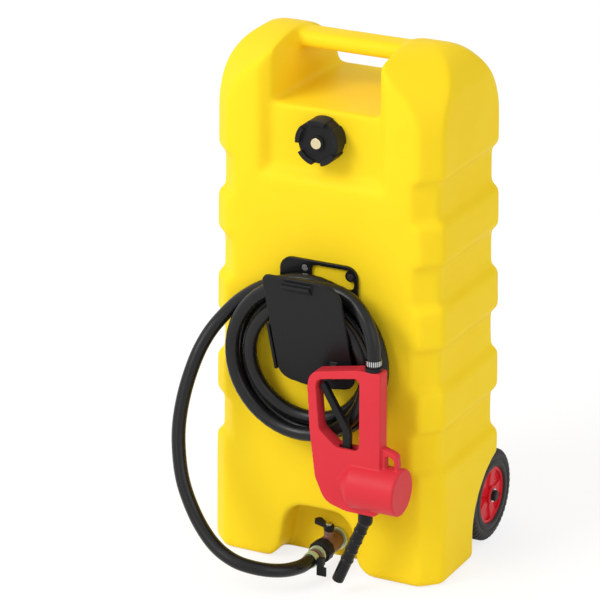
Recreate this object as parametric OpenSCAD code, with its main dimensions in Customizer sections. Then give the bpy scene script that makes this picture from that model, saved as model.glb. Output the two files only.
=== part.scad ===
/* [Tank] */
// Width of the tank at half its height
tank_w = 390; // [360:1:420]
// How far each side leans out at the bottom and in at the top
tank_lean = 6; // [2:0.5:8]
// Depth of the tank, front to back
tank_d = 262; // [240:1:290]
// Height of the tank
tank_h = 850; // [830:1:900]
// Width of the flats on the upright corners, along each side
tank_chamfer = 30; // [20:1:40]
// Thickness of the moulded wall
tank_wall = 5.5; // [4:0.5:7]
// Radius of the shoulders, seen from the front
shoulder_round = 68; // [60:1:85]
// Radius of the front top edge
front_round = 46; // [40:1:60]
// Radius of the back top edge
back_round = 153; // [140:1:160]
// Radius of the top of the two front corners
front_corner_round = 117; // [100:1:118]
// Radius of the top of the two back corners
back_corner_round = 134; // [120:1:145]
// Radius of the edges round the bottom
foot_round = 14; // [8:1:22]
// Depth of the grooves round the sides
groove_depth = 10; // [6:0.5:12]
// Height of a groove at the outer face
groove_h = 75; // [60:1:80]
// Height of each sloping edge of a groove
groove_slope = 9; // [5:0.5:14]
// Height of the lowest groove's bottom edge
groove_start = 189; // [175:1:192]
// Distance from one groove to the next
groove_pitch = 134.8; // [125:0.1:136]

/* [Handle and filler recess] */
// Width of the gap between the shoulders
channel_w = 180; // [160:1:190]
// How far the shelf under the handle lies below the tank's top
shelf_drop = 96; // [80:1:100]
// Depth of the filler recess from the front face
recess_depth = 16; // [12:0.5:18]
// How far the filler recess's bottom edge lies below the tank's top
recess_drop = 193; // [188:1:200]
// How far the recess's sides and bottom spread at the front face
recess_flare = 18; // [10:1:22]
// Height of the handle bar
bar_h = 27; // [20:1:32]
// Depth of the handle bar
bar_d = 55; // [40:1:60]
// How far the bar lies below the shoulders
bar_drop = 6; // [2:1:10]
// Place of the bar's middle, front to back
bar_y = -8; // [-20:1:10]

/* [Filler cap] */
// How far the filler's axis lies below the tank's top
filler_drop = 139; // [135:1:145]
// Outer diameter of the neck
neck_d = 52; // [46:0.5:54]
// Bore of the neck
neck_bore = 44; // [38:0.5:45]
// Length of the neck
neck_l = 19; // [16:0.5:22]
// Height of a thread ridge on the neck
ridge_h = 1.6; // [1:0.1:2]
// Lead of the cap's thread
cap_lead = 4; // [3:0.5:5]
// Diameter of the cap over its lugs
cap_d = 72; // [68:0.5:78]
// Thickness of the cap's face
cap_face = 4; // [3:0.5:6]
// Number of lugs round the cap
cap_lugs = 5; // [4:1:6]
// Arc of each lug, in degrees
lug_arc = 48; // [36:1:50]
// How far the lugs stand out from the cap's face
lug_rise = 7; // [4:0.5:8]
// Thickness of the cap's gasket
gasket_t = 3; // [2:0.5:4]
// Diameter of the vent pin
vent_d = 8; // [6:0.5:9]
// Diameter of the vent pin's head
vent_head_d = 17; // [14:0.5:20]
// Travel of the vent pin
vent_travel = 2.5; // [1.5:0.5:2.5]

/* [Wheels] */
// Diameter of the wheels
wheel_d = 150; // [140:1:156]
// Width of the tyres
tyre_w = 38; // [32:1:38]
// Diameter of the hubs
hub_d = 94; // [84:1:100]
// Distance of the axle from the tank's back
axle_in = 33; // [31:1:37]
// Diameter of the axle
axle_d = 12; // [10:0.5:14]
// Thickness of the skirt outside each wheel
skirt_t = 5; // [4:0.5:6]
// Gap between a tyre and its well
well_gap = 9; // [6:1:12]
// Number of spokes on a hub
hub_spokes = 5; // [4:1:6]
// Thickness of a wheel bush's wall
bush_wall = 3; // [2:0.5:4]
// Thickness of a wheel washer
washer_t = 1.6; // [1.2:0.1:2.4]
// Distance from the middle to each axle bracket
bracket_x = 95; // [80:1:105]
// Width of an axle bracket
bracket_w = 30; // [24:1:36]

/* [Hose hanger] */
// Width of the hanger panel
panel_w = 130; // [120:1:134]
// Length of the hanger panel
panel_l = 209; // [200:1:214]
// Thickness of the hanger panel
panel_t = 5; // [4:0.5:6]
// Lean of the panel from upright
panel_tilt = 18; // [17.5:0.5:22]
// Height of the panel's lower edge
panel_z = 320; // [316:1:324]
// Thickness of the frame behind the panel
frame_t = 6; // [4:0.5:6]
// Width of the bars round the frame
frame_bar = 6; // [5:0.5:9]

/* [Hose] */
// Outer diameter of the hose
hose_d = 22; // [20:0.1:22]
// Bore of the hose at its fittings
hose_bore = 16; // [14:0.1:16.5]
// Radius of the coil where it starts
coil_r = 129; // [126:1:132]
// Change of the back layer's radius in a turn
coil_step = 23; // [22.9:0.1:24]
// Change of the front layer's radius in a turn
coil_spread = 30; // [28:0.5:32]
// Radius of the bend down to the nozzle
lead_r = 84; // [80:1:86]

/* [Outlet valve] */
// Place of the outlet, left to right
outlet_x = 4; // [-2:1:10]
// Height of the outlet's axis
outlet_z = 34; // [32:1:38]
// Width of the outlet's niche at its top
niche_w = 108; // [104:1:116]
// Width of the outlet's niche above its foot
niche_low_w = 136; // [130:1:142]
// Width of the outlet's niche at the floor
niche_foot_w = 176; // [166:1:180]
// Height of the outlet's niche
niche_h = 102; // [98:1:106]
// Depth of the outlet's niche
niche_depth = 54; // [50:1:58]
// Diameter of the tube through the tank wall
outlet_d = 24; // [22:0.5:26]
// Diameter of the valve ball
ball_d = 23.6; // [22:0.2:24]
// Bore of the valve
valve_bore = 13; // [11:0.5:14]
// Diameter of the valve stem
stem_d = 8; // [7:0.5:9]
// Length of the valve handle from its stem
handle_l = 34; // [30:1:36]
// Diameter of the union nut
nut_d = 38; // [37:0.5:44]

/* [Nozzle] */
// Place of the nozzle's barrel, left to right
nozzle_x = 122; // [118:1:124]
// Height of the barrel's top
nozzle_z = 384; // [381:1:386]
// Thickness of the nozzle's flat body
nozzle_t = 26; // [24:0.5:26]
// Diameter of the nozzle's barrel
barrel_d = 35; // [31:0.5:36]
// Diameter of the pump
pump_d = 75; // [70:0.5:77]
// Wall of the pump's barrel
pump_wall = 3; // [2.5:0.5:4]
// Stroke of the pump for a full squeeze
pump_stroke = 10.8; // [9:0.1:11]
// Width of the trigger, front to back
trigger_t = 10; // [8:0.5:10]
// Diameter of the trigger's pin
pin_d = 6; // [5:0.5:7]
// Diameter of the spout
spout_d = 19; // [16:0.5:20]
// Lean of the spout's lower part
spout_tilt = 23; // [18:0.5:26]
// Length of the spout's lower part
spout_l = 120; // [110:1:121]

/* [Fits] */
// Clearance of a running fit, on the radius
run_gap = 0.05; // [0.02:0.01:0.1]
// Clearance between pieces that are put together
fit_gap = 0.2; // [0.1:0.05:0.3]

/* [Hidden] */
$fn = 64;

tank_yellow = [0.98, 0.86, 0.12];
nozzle_red = [0.86, 0.16, 0.2];
soft_black = [0.12, 0.12, 0.12];
hard_black = [0.18, 0.18, 0.18];
zinc = [0.66, 0.66, 0.6];
brass = [0.78, 0.68, 0.42];

// Tank faces
side_x = tank_w / 2;
front_y = -tank_d / 2;
back_y = tank_d / 2;
axle_y = back_y - axle_in;
groove_count = 4;
corner_n = (side_x + back_y - tank_chamfer) / sqrt(2);
corner_lean = tank_lean / sqrt(2);
lean_slack = 0.1;
far = 2 * tank_h;
// Overlap of the shapes that make one piece, and reach of a cut past a face
lap = 1;

// Filler
filler_z = tank_h - filler_drop;
shelf_z = tank_h - shelf_drop;
recess_z = tank_h - recess_drop;
recess_y = front_y + recess_depth;
recess_half = channel_w / 2;
neck_y = recess_y - neck_l;
ridge_r = neck_d / 2 + ridge_h;
ridge_w = 2;
cap_bore_r = ridge_r + 0.6;
cap_wall = 5.4;
cap_body_r = cap_bore_r + cap_wall;
cap_inner_y = neck_y - gasket_t;
cap_front_y = cap_inner_y - cap_face;
cap_gap = 1.5;
cap_skirt_y = recess_y - cap_gap;
lug_w = 8;
vent_flange_d = vent_d + 5;
vent_flange_t = 2;
vent_stand = vent_travel + 0.5;
vent_boss_h = 5;
vent_boss_w = 3;
vent_boss_bore = vent_head_d / 2 + fit_gap;
cage_wall = 1.5;
cage_r = vent_flange_d / 2 + 1.5;
cage_l = 13;
vent_wire = 1.2;
vent_tail = 3;

// Wheels
wheel_r = wheel_d / 2;
axle_z = wheel_r;
axle_r = axle_d / 2;
well_r = wheel_r + well_gap;
skirt_gap = 2;
skirt_in = side_x + spread(tank_lean, axle_z) - skirt_t;
tyre_out = skirt_in - skirt_gap;
tyre_in = tyre_out - tyre_w;
hub_r = hub_d / 2;
hub_rim = 6;
hub_inset = 3;
hub_web_t = 6;
hub_web_in = 24;
hub_web_x = tyre_in + hub_web_in;
spoke_root = 14;
spoke_tip = 22;
tyre_round = 7;
axle_over = 4;
axle_end = tyre_out + axle_over;
boss_r = 15;
bush_r = axle_r + bush_wall;
well_play = 4;
well_x = tyre_in - washer_t - well_play;
axle_groove_h = 28;
axle_groove_in = 8;
axle_groove_y = axle_y - axle_r - axle_groove_in;
bracket_plate_t = 4;
bracket_plate_h = 60;
screw_d = 5;
screw_head_d = 10;
screw_head_t = 3;
bracket_screw_l = 18;
bracket_screw_z = 23;
axle_cap_l = 6;
axle_cap_r = axle_r + 3;
washer_r = axle_r + 5;
axle_cap_bevel = 2;
skirt_arc_r = 125;
skirt_arc_y = 37;
skirt_arc_z = -45;

// Hose and coil
hose_r = hose_d / 2;
coil_space = 0.6;
layer_step = hose_d + coil_space;
coil_x = -10;
coil_z = 360;
coil_y = front_y - frame_t - hose_r - coil_space;
coil_in = 1.4;
coil_climb = 0.5;
coil_out = 1.1;
coil_turns = coil_in + coil_climb + coil_out;
coil_small = coil_r - coil_step * coil_in;
seam_dip = 1.7;
seam_slope = 9;
seam_half = 8;
loop_rings = 24;
coil_sides = 6;
free_sides = 10;

// Hanger
frame_y = front_y - frame_t;
panel_x = 10;
panel_low_round = 24;
panel_left_round = 12;
panel_right_round = 30;
panel_bow = 12;
panel_bow_r = 60;
panel_stand = 16;
frame_x = -1;
frame_half = 66;
frame_low = 326;
frame_high = 518;
frame_corner = 20;
frame_window = [-14, 59, 480];
frame_boss_r = 9;
saddle_r = coil_small - hose_r - 1;
saddle_t = 5;
saddle_half = 55;
neck_low = 340;
lip_w = 48;
lip_h = 17;
lip_out = 9;
lip_x = -6;
lip_drop = 8;
lip_edge = 3;
hanger_screw_at = [[-24, 505], [53, 503], [-30, 350], [30, 350]];
hanger_screw_l = 12;
hook_x = 46;
hook_w = 12;
hook_t = 7;
hook_root = 56;

// Outlet, from the niche wall forwards
niche_x = -5;
niche_round = 38;
niche_foot_h = 20;
niche_foot_round = 25;
niche_y = front_y + niche_depth;
inner_y = niche_y + tank_wall;
outlet_r = outlet_d / 2;
flange_r = 19;
flange_t = 6;
lock_gasket_t = 1.5;
lock_nut_t = 8;
valve_in_y = niche_y - flange_t;
valve_end = 9;
ball_r = ball_d / 2;
seat_t = 5.5;
chamber_r = ball_r + 0.4;
seat_gap = 0.1;
chamber_half = ball_r + 1;
chamber_end = 3;
valve_step = 2;
stem_wall = 4;
valve_y = valve_in_y - valve_end - chamber_half - chamber_end;
valve_r = chamber_r + 4;
valve_out_y = valve_y - chamber_half - chamber_end;
spigot_r = 12.5;
spigot_l = 12;
spigot_y = valve_out_y - spigot_l;
seal_t = 1;
tail_flange_t = 3;
tail_y = spigot_y - seal_t;
nut_lip_t = 7;
nut_step = 4;
nut_sides = 10;
nut_back_y = valve_out_y - 1;
nut_lip_y = tail_y - tail_flange_t - fit_gap;
nut_front_y = nut_lip_y - nut_lip_t;
tail_r = 9.5;
collar_t = 5;
collar_gap = 8;
collar_r = hose_r + 1.5;
tail_ring_r = 14.5;
tail_ring_t = 4;
tail_ring_gap = 0.4;
hose_start_y = nut_front_y - collar_gap - collar_t;
barb_l = 20;
barb_r = hose_bore / 2 - fit_gap / 2;
barb_wall = 2;
stem_top = 34;
boss_top = 24;
stem_seat = ball_r - 1.3;
handle_t = 8;
handle_w = 16;
handle_neck_w = 7;
handle_neck = 12;
handle_hub_r = 8.5;
handle_turn = 30;
handle_z = stem_top - handle_t;
handle_screw_d = 3;
handle_screw_l = 7;
handle_head_t = 3;
handle_head_r = stem_d / 2 + 1.5;
clamp_w = 10;
clamp_t = 1.6;
clamp_y = hose_start_y - 5;
key_d = 4;
key_x = 18;
key_l = 5.7;
key_flange_t = 3.6;
key_flange_r = key_d / 2 + 2;
key_play = 0.4;
housing_h = 12;
housing_w = 8;
wing_h = 14;
wing_w = 16;
wing_t = 3.5;

// Nozzle
nozzle_y = coil_y - layer_step - hose_r - 0.8 - nozzle_t / 2;
nozzle_half = nozzle_t / 2;
barrel_r = barrel_d / 2;
barrel_bore = 20;
inlet_t = 6;
inlet_r = 13;
inlet_stub = 27;
hose_end_z = nozzle_z + inlet_t;
inlet_bore = 12;
inlet_barb_l = 22;
ferrule_w = 8;
ferrule_t = 1.4;
ferrule_z = hose_end_z + 4;
pump_r = pump_d / 2;
pump_below = 192;
pump_z = nozzle_z - pump_below;
pump_left = 30;
pump_in_x = nozzle_x - pump_left;
pump_cap_t = 10;
pump_right = 50;
pump_out_x = nozzle_x + pump_right;
pump_bore_r = pump_r - pump_wall;
pump_dome = 22;
pump_cap_edge = 2;
pump_cap_in = 4;
rod_r = 4;
piston_t = 10;
spring_room = 30;
piston_x = pump_in_x + pump_wall + spring_room;
seal_w = 3;
seal_depth = 3;
seal_inset = 3;
piston_gap = 0.3;
yoke_floor = 3;
spring_r = 12;
spring_wire = 2;
pivot_left = 44;
pivot_below = 146;
pivot_x = nozzle_x - pivot_left;
pivot_z = nozzle_z - pivot_below;
lobe_left = 12;
lobe_x = pivot_x - lobe_left;
lobe_z = pump_z;
lobe_r = 3.5;
tail_half = 2.5;
tail_root = 4.5;
yoke_gap = 10;
yoke_wall = 3.5;
yoke_h = 14;
slot_gap = 0.6;
spout_left = 12;
spout_x = nozzle_x - spout_left;
spout_top = pump_z - pump_r - lap;
spout_collar_d = spout_d + 4;
bend_below = 250;
spout_bend_z = nozzle_z - bend_below;
spout_wall = 2;
spout_ribs = 4;
rib_first = 20;
rib_pitch = 19;
rib_t = 3;
rib_h = 1;
nozzle_screw_at = [[-98, -62], [-84, -186], [-37, -222]];
nozzle_screw_d = 3.6;
nozzle_head_d = 6.4;
nozzle_head_t = 2.4;
nozzle_head_low = 3;
pin_cover = 2;
pin_play = 0.4;
tab_t = 14;
tail_room = [12, 27];
room_over = 8;

// Outline of the nozzle from its barrel's top: across, up, corner radius
nozzle_outline = [
    [-102, -16, 22], [-22, 0, 20], [barrel_r, 0, 4], [barrel_r, -236, 14],
    [-40, -236, 60], [-76, -226, 30], [-93, -188, 30], [-102, -112, 80], [-106, -40, 30]
];
window_outline = [
    [-92, -27, 12], [-18, -13, 8], [-18, -133, 10], [-56, -133, 20], [-86, -108, 16]
];
trigger_outline = [
    [-7, -6, 4], [-5, 38, 8], [-45, 108, 3], [-37, 114, 3], [7, 40, 8], [7, -6, 4]
];
tab_outline = [
    [0, -2, 1], [8, -2, 1], [8, 23, 5], [22, 17, 6], [24, 0.4, 1], [29, 0.4, 1],
    [28, 25, 10], [4, 32, 4], [0, 32, 1]
];

// Route of the free hose from its barb to the coil
free_route = [
    [4, -180, 34], [1, -203, 34.7], [-11.5, -230.5, 37.8], [-32.5, -252, 43], [-59.5, -265, 49.8],
    [-82, -268.5, 56.5], [-107, -267, 68], [-131, -262.5, 86.5], [-156, -255.5, 116], [-179, -247, 158],
    [-192, -236.5, 202], [-198, -224, 247], [-196, -207.5, 296], [-187, -188, 345], [-174, -170.5, 381],
    [-154, -158, 411], [-125, -151.5, 442], [-85, -149, 469]
];

// Shared helpers
function unit(v) = v / norm(v);
function smooth(t) = let (s = min(1, max(0, t))) s * s * (3 - 2 * s);

function corner_arc(a, b, c, r, steps = 6) =
    let (
        u = unit(a - b),
        v = unit(c - b),
        half = acos(u * v) / 2,
        centre = b + unit(u + v) * (r / sin(half)),
        p = b + u * (r / tan(half)) - centre,
        q = b + v * (r / tan(half)) - centre,
        first = atan2(p.y, p.x),
        sweep = (atan2(q.y, q.x) - first + 540) % 360 - 180
    )
    [for (i = [0 : steps]) centre + r * [cos(first + sweep * i / steps), sin(first + sweep * i / steps)]];

function rounded(corners) =
    let (n = len(corners), at = [for (k = corners) [k.x, k.y]])
    [for (i = [0 : n - 1]) each corner_arc(at[(i + n - 1) % n], at[i], at[(i + 1) % n], corners[i].z)];

// Catmull-Rom curve through a list of points
function spline_at(a, b, c, d, t) =
    b + 0.5 * t * ((c - a) + t * (2 * a - 5 * b + 4 * c - d) + t * t * (3 * b - a - 3 * c + d));
function spline(points, steps) =
    let (n = len(points))
    concat(
        [for (i = [0 : n - 2], k = [0 : steps - 1])
            let (before = points[max(0, i - 1)], after = points[min(n - 1, i + 2)])
            spline_at(before, points[i], points[i + 1], after, k / steps)],
        [points[n - 1]]
    );

function path_length(path) =
    sum([for (i = [1 : len(path) - 1]) norm(path[i] - path[i - 1])]);
function sum(list, i = 0) = i < len(list) ? list[i] + sum(list, i + 1) : 0;

function tangent(path, i) =
    unit(path[min(len(path) - 1, i + 1)] - path[max(0, i - 1)]);
function across(v, t) = unit(v - (v * t) * t);

// Tube of flat triangles along a path
module tube(path, r, sides, first_across) {
    n = len(path);
    normals = [for (i = 0, v = across(first_across, tangent(path, 0)); i < n;
        i = i + 1, v = i < n ? across(v, tangent(path, i)) : v) v];
    points = [for (i = [0 : n - 1], k = [0 : sides - 1])
        let (a = 360 * k / sides)
        path[i] + r * (cos(a) * normals[i] + sin(a) * cross(tangent(path, i), normals[i]))];
    walls = [for (i = [0 : n - 2], k = [0 : sides - 1])
        let (a = i * sides + k, b = i * sides + (k + 1) % sides)
        each [[a, a + sides, b], [b, a + sides, b + sides]]];
    start = [for (k = [1 : sides - 2]) [0, k, k + 1]];
    last = (n - 1) * sides;
    end = [for (k = [1 : sides - 2]) [last, last + k + 1, last + k]];
    polyhedron(points, concat(walls, start, end), convexity = 10);
}

module along_x(l) { rotate([90, 0, 90]) linear_extrude(l, center = true) children(); }
module along_y(l) { rotate([90, 0, 0]) linear_extrude(l, center = true) children(); }

// Rod along Y between two places, and its ring
module rod_y(r, y1, y2) { translate([0, max(y1, y2), 0]) rotate([90, 0, 0]) cylinder(abs(y2 - y1), r = r); }
module ring_y(r, bore, y1, y2) {
    difference() {
        rod_y(r, y1, y2);
        rod_y(bore, max(y1, y2) + lap, min(y1, y2) - lap);
    }
}
module rod_x(r, x1, x2) { translate([min(x1, x2), 0, 0]) rotate([0, 90, 0]) cylinder(abs(x2 - x1), r = r); }
module ring_x(r, bore, x1, x2) {
    difference() {
        rod_x(r, x1, x2);
        rod_x(bore, min(x1, x2) - lap, max(x1, x2) + lap);
    }
}
module box(x1, x2, y1, y2, z1, z2) { translate([x1, y1, z1]) cube([x2 - x1, y2 - y1, z2 - z1]); }

// Outline of the tank's side with its grooves, from the middle out
function groove_points(half) = [
    for (i = [0 : groove_count - 1])
        let (low = groove_start + i * groove_pitch, high = low + groove_h)
        each [[half, low], [half - groove_depth, low + groove_slope],
              [half - groove_depth, high - groove_slope], [half, high]]
];
function both_sides(right) =
    let (n = len(right)) concat(right, [for (i = [1 : n]) [-right[n - i].x, right[n - i].y]]);
function leaning(points, lean) = [for (p = points) [p.x + spread(lean, p.y), p.y]];
function grooved(half, lean) =
    both_sides(leaning(concat([[half, 0]], groove_points(half), [[half, tank_h]]), lean));
function flat_sided(half, lean) = both_sides(leaning([[half, 0], [half, tank_h]], lean));
function spread(lean, z) = lean * (1 - 2 * z / tank_h);

// Upright outline with its own radius at each top corner and one for the bottom, drawn in by a margin
module upright(left, right, left_round, right_round, margin, lean) {
    slack = lean > 0 ? lean_slack : 0;
    x1 = left - spread(lean, tank_h - left_round) - slack + left_round;
    x2 = right + spread(lean, tank_h - right_round) + slack - right_round;
    low_left = left - spread(lean, foot_round) - slack;
    low_right = right + spread(lean, foot_round) + slack;
    foot = foot_round - margin;
    union() {
        translate([low_left + margin, foot_round])
            square([x1 + lap - low_left - margin, tank_h - left_round - foot_round]);
        translate([x2 - lap, foot_round])
            square([low_right - margin - x2 + lap, tank_h - right_round - foot_round]);
        translate([x1 - lap, foot_round]) square([x2 - x1 + 2 * lap, tank_h - margin - foot_round - lap]);
        translate([x1, foot_round]) square([x2 - x1, tank_h - margin - foot_round]);
        translate([low_left + foot_round, margin]) square([low_right - low_left - 2 * foot_round, 2 * foot]);
        for (x = [low_left + foot_round, low_right - foot_round]) translate([x, foot_round]) circle(foot);
        quarter(x1, tank_h - left_round, left_round - margin, -1);
        quarter(x2, tank_h - right_round, right_round - margin, 1);
    }
}
module quarter(x, z, r, side) {
    intersection() {
        translate([x, z]) circle(r);
        translate([x + (side < 0 ? -r - lap : -lap), z - lap]) square([r + 2 * lap, r + 2 * lap]);
    }
}

module tank_block() {
    intersection() {
        along_y(tank_d) polygon(grooved(side_x, tank_lean));
        along_y(tank_d) upright(-side_x, side_x, shoulder_round, shoulder_round, 0, tank_lean);
        along_x(tank_w + 3 * tank_lean) upright(front_y, back_y, front_round, back_round, 0, 0);
        for_corners();
    }
}
module for_corners() {
    intersection() {
        corner_prism(45, front_corner_round, back_corner_round);
        corner_prism(-45, back_corner_round, front_corner_round);
    }
}
module corner_prism(turn, left_round, right_round) {
    rotate([0, 0, turn]) intersection() {
        along_y(tank_w + tank_d) polygon(grooved(corner_n, corner_lean));
        along_y(tank_w + tank_d) upright(-corner_n, corner_n, left_round, right_round, 0, corner_lean);
    }
}

module recess_cut() {
    spread = recess_flare / recess_depth;
    out = 2 * recess_depth;
    intersection() {
        translate([0, 0, recess_z - 2 * recess_flare - lap]) linear_extrude(tank_h) polygon([
            [-recess_half, recess_y], [-recess_half - out * spread, recess_y - out],
            [recess_half + out * spread, recess_y - out], [recess_half, recess_y]
        ]);
        along_x(tank_w) polygon([
            [recess_y, recess_z], [recess_y, tank_h + lap], [recess_y - out, tank_h + lap],
            [recess_y - out, recess_z - out * spread]
        ]);
    }
    box(-recess_half, recess_half, front_y - lap, back_y + lap, shelf_z, tank_h + lap);
}

module handle_bar() {
    r = bar_h / 2;
    top = tank_h - bar_drop;
    along_x(channel_w + 2) union() {
        for (y = [bar_y - bar_d / 2 + r, bar_y + bar_d / 2 - r]) translate([y, top - r]) circle(r);
        translate([bar_y - bar_d / 2 + r, top - bar_h]) square([bar_d - bar_h, bar_h]);
    }
}

module niche_cut(grow) {
    deep = niche_depth + lap + grow;
    right = [
        [niche_foot_w / 2 + grow + lap, -lap, lap / 2],
        [niche_low_w / 2 + grow, niche_foot_h, niche_foot_round],
        [niche_w / 2 + grow, niche_h + grow, niche_round + grow]
    ];
    left = [for (i = [2 : -1 : 0]) [-right[i].x, right[i].y, right[i].z]];
    translate([niche_x, front_y - lap + deep / 2, 0]) along_y(deep) polygon(rounded(concat(right, left)));
}

// Space for one wheel, grown by a wall for the hollow inside
module well_cut(grow) {
    inner = well_x - grow;
    translate([0, axle_y, axle_z]) rod_x(well_r + grow, inner, skirt_in);
    box(inner, skirt_in, axle_y - well_r - grow, back_y + lap, -lap, axle_z);
    box(inner, skirt_in, axle_y, back_y + lap, -lap, axle_z + well_r + grow);
    translate([0, axle_y + skirt_arc_y, axle_z + skirt_arc_z])
        rod_x(skirt_arc_r, skirt_in - lap, side_x + tank_lean + lap);
}

module axle_groove() {
    box(-well_x - lap, well_x + lap, axle_groove_y, back_y + lap,
        axle_z - axle_groove_h / 2, axle_z + axle_groove_h / 2);
}

module hollow() {
    skin = groove_depth + tank_wall;
    solid_half = bracket_screw_z + screw_d / 2 + tank_wall;
    recess_side = recess_half + recess_flare + tank_wall;
    difference() {
        intersection() {
            along_y(tank_d) polygon(flat_sided(side_x - skin, tank_lean));
            rotate([0, 0, 45]) along_y(tank_w + tank_d) polygon(flat_sided(corner_n - skin, corner_lean));
            rotate([0, 0, -45]) along_y(tank_w + tank_d) polygon(flat_sided(corner_n - skin, corner_lean));
            box(-tank_w, tank_w, front_y, back_y, tank_wall, shelf_z - tank_wall);
            along_x(2 * tank_w) upright(front_y, back_y, front_round, back_round, tank_wall, 0);
        }
        niche_cut(tank_wall);
        for (s = [0, 1]) mirror([s, 0, 0]) well_cut(tank_wall);
        box(-well_x, well_x, axle_groove_y - tank_wall, back_y, axle_z - solid_half, axle_z + solid_half);
        box(-recess_side, recess_side, front_y, recess_y + tank_wall,
            recess_z - recess_flare - 2 * tank_wall, tank_h);
        hanger_holes(screw_d / 2 + tank_wall, front_y, hanger_screw_l + tank_wall);
    }
    for (s = [0, 1]) mirror([s, 0, 0]) box(
        recess_half + tank_wall, side_x - shoulder_round * 0.75, front_y + front_round * 1.5,
        back_y - back_round * 0.6, shelf_z - 3 * tank_wall, tank_h - shoulder_round / 2
    );
}

module hanger_holes(r, from_y, depth) {
    for (at = hanger_screw_at) translate([at.x, 0, at.y]) rod_y(r, from_y, from_y + depth);
}

module tank() {
    color(tank_yellow) difference() {
        union() {
            difference() {
                tank_block();
                recess_cut();
            }
            handle_bar();
            translate([0, 0, filler_z]) {
                rod_y(neck_d / 2, recess_y + lap, neck_y);
                for (i = [1 : 3]) let (y = neck_y + i * cap_lead) rod_y(ridge_r, y, y - ridge_w);
            }
        }
        niche_cut(0);
        for (s = [0, 1]) mirror([s, 0, 0]) well_cut(0);
        axle_groove();
        hollow();
        translate([0, 0, filler_z]) rod_y(neck_bore / 2, recess_y + 3 * tank_wall, neck_y - lap);
        translate([outlet_x, 0, outlet_z]) rod_y(outlet_r + fit_gap, inner_y + lap, niche_y - lap);
        hanger_holes(screw_d / 2, front_y - lap, hanger_screw_l + lap);
        for (side = [-1, 1]) bracket_holes(side, back_y + lap, back_y - bracket_screw_l);
    }
}
module bracket_holes(side, y1, y2) {
    for (z = [-bracket_screw_z, bracket_screw_z])
        translate([side * bracket_x, 0, axle_z + z]) rod_y(screw_d / 2, y1, y2);
}

// Filler cap, with its pieces on the filler's axis
module filler_cap() {
    color(hard_black) translate([0, 0, filler_z]) difference() {
        union() {
            rod_y(cap_body_r, cap_skirt_y, cap_front_y);
            for (i = [0 : cap_lugs - 1]) rotate([0, -90 - 360 * i / cap_lugs, 0]) intersection() {
                rotate([0, 180, 0])
                    ring_y(cap_d / 2, cap_d / 2 - lug_w, cap_skirt_y - lap, cap_front_y - lug_rise);
                along_y(far) polygon([
                    [0, 0], cap_d * [cos(lug_arc / 2), -sin(lug_arc / 2)],
                    cap_d * [cos(lug_arc / 2), sin(lug_arc / 2)]
                ]);
            }
            ring_y(vent_boss_bore + vent_boss_w, vent_boss_bore, cap_front_y + lap,
                cap_front_y - vent_boss_h);
        }
        rod_y(cap_bore_r, cap_skirt_y + lap, cap_inner_y);
        rod_y(vent_d / 2 + run_gap, cap_inner_y + lap, cap_front_y - lap);
    }
}
module cap_gasket() {
    color(soft_black) translate([0, 0, filler_z])
        ring_y(ridge_r, cage_r + cage_wall + 3, neck_y, cap_inner_y);
}
module vent_pin() {
    flange_y = cap_inner_y + fit_gap;
    color(brass) translate([0, 0, filler_z]) union() {
        rod_y(vent_d / 2, flange_y + vent_flange_t + vent_tail, cap_front_y - vent_stand);
        rod_y(vent_flange_d / 2, flange_y, flange_y + vent_flange_t);
        rod_y(vent_head_d / 2, cap_front_y - vent_stand, cap_front_y - vent_stand - vent_boss_h);
    }
}
module vent_cage() {
    floor_y = cap_inner_y + cage_l;
    color(brass) translate([0, 0, filler_z]) difference() {
        rod_y(cage_r + cage_wall, cap_inner_y, floor_y);
        rod_y(cage_r, cap_inner_y - lap, floor_y - cage_wall);
        rod_y(vent_d / 2 + lap, floor_y + lap, floor_y - cage_wall - lap);
    }
}
module vent_spring() {
    start = cap_inner_y + fit_gap + vent_flange_t + vent_wire;
    end = cap_inner_y + cage_l - cage_wall - vent_wire;
    turns = 3;
    mean_r = vent_d / 2 + vent_wire;
    steps = turns * 8;
    path = [for (i = [0 : steps]) let (a = 360 * turns * i / steps)
        [mean_r * cos(a), start + (end - start) * i / steps, mean_r * sin(a)]];
    color(zinc) translate([0, 0, filler_z]) tube(path, vent_wire / 2, 6, [1, 0, 0]);
}

// Axle and what holds it
module on_axle() { translate([0, axle_y, axle_z]) children(); }
module axle() {
    color(zinc) on_axle() rod_x(axle_r, -axle_end, axle_end);
}
module axle_bracket(side) {
    color(hard_black) difference() {
        translate([side * bracket_x, 0, 0]) union() {
            box(-bracket_w / 2, bracket_w / 2, axle_groove_y + fit_gap, back_y + bracket_plate_t / 2,
                axle_z - axle_groove_h / 2 + fit_gap, axle_z + axle_groove_h / 2 - fit_gap);
            box(-bracket_w / 2, bracket_w / 2, back_y, back_y + bracket_plate_t,
                axle_z - bracket_plate_h / 2, axle_z + bracket_plate_h / 2);
        }
        on_axle() rod_x(axle_r + run_gap, -far, far);
        bracket_holes(side, back_y + bracket_plate_t + lap, back_y - lap);
    }
}
module axle_bracket_left() { axle_bracket(-1); }
module axle_bracket_right() { axle_bracket(1); }
module bracket_screws() {
    head_y = back_y + bracket_plate_t;
    color(zinc) for (s = [-1, 1], z = [-bracket_screw_z, bracket_screw_z])
        translate([s * bracket_x, 0, axle_z + z]) union() {
            rod_y(screw_d / 2 - fit_gap / 2, head_y + lap, back_y - bracket_screw_l + lap);
            rod_y(screw_head_d / 2, head_y, head_y + screw_head_t);
        }
}

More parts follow.
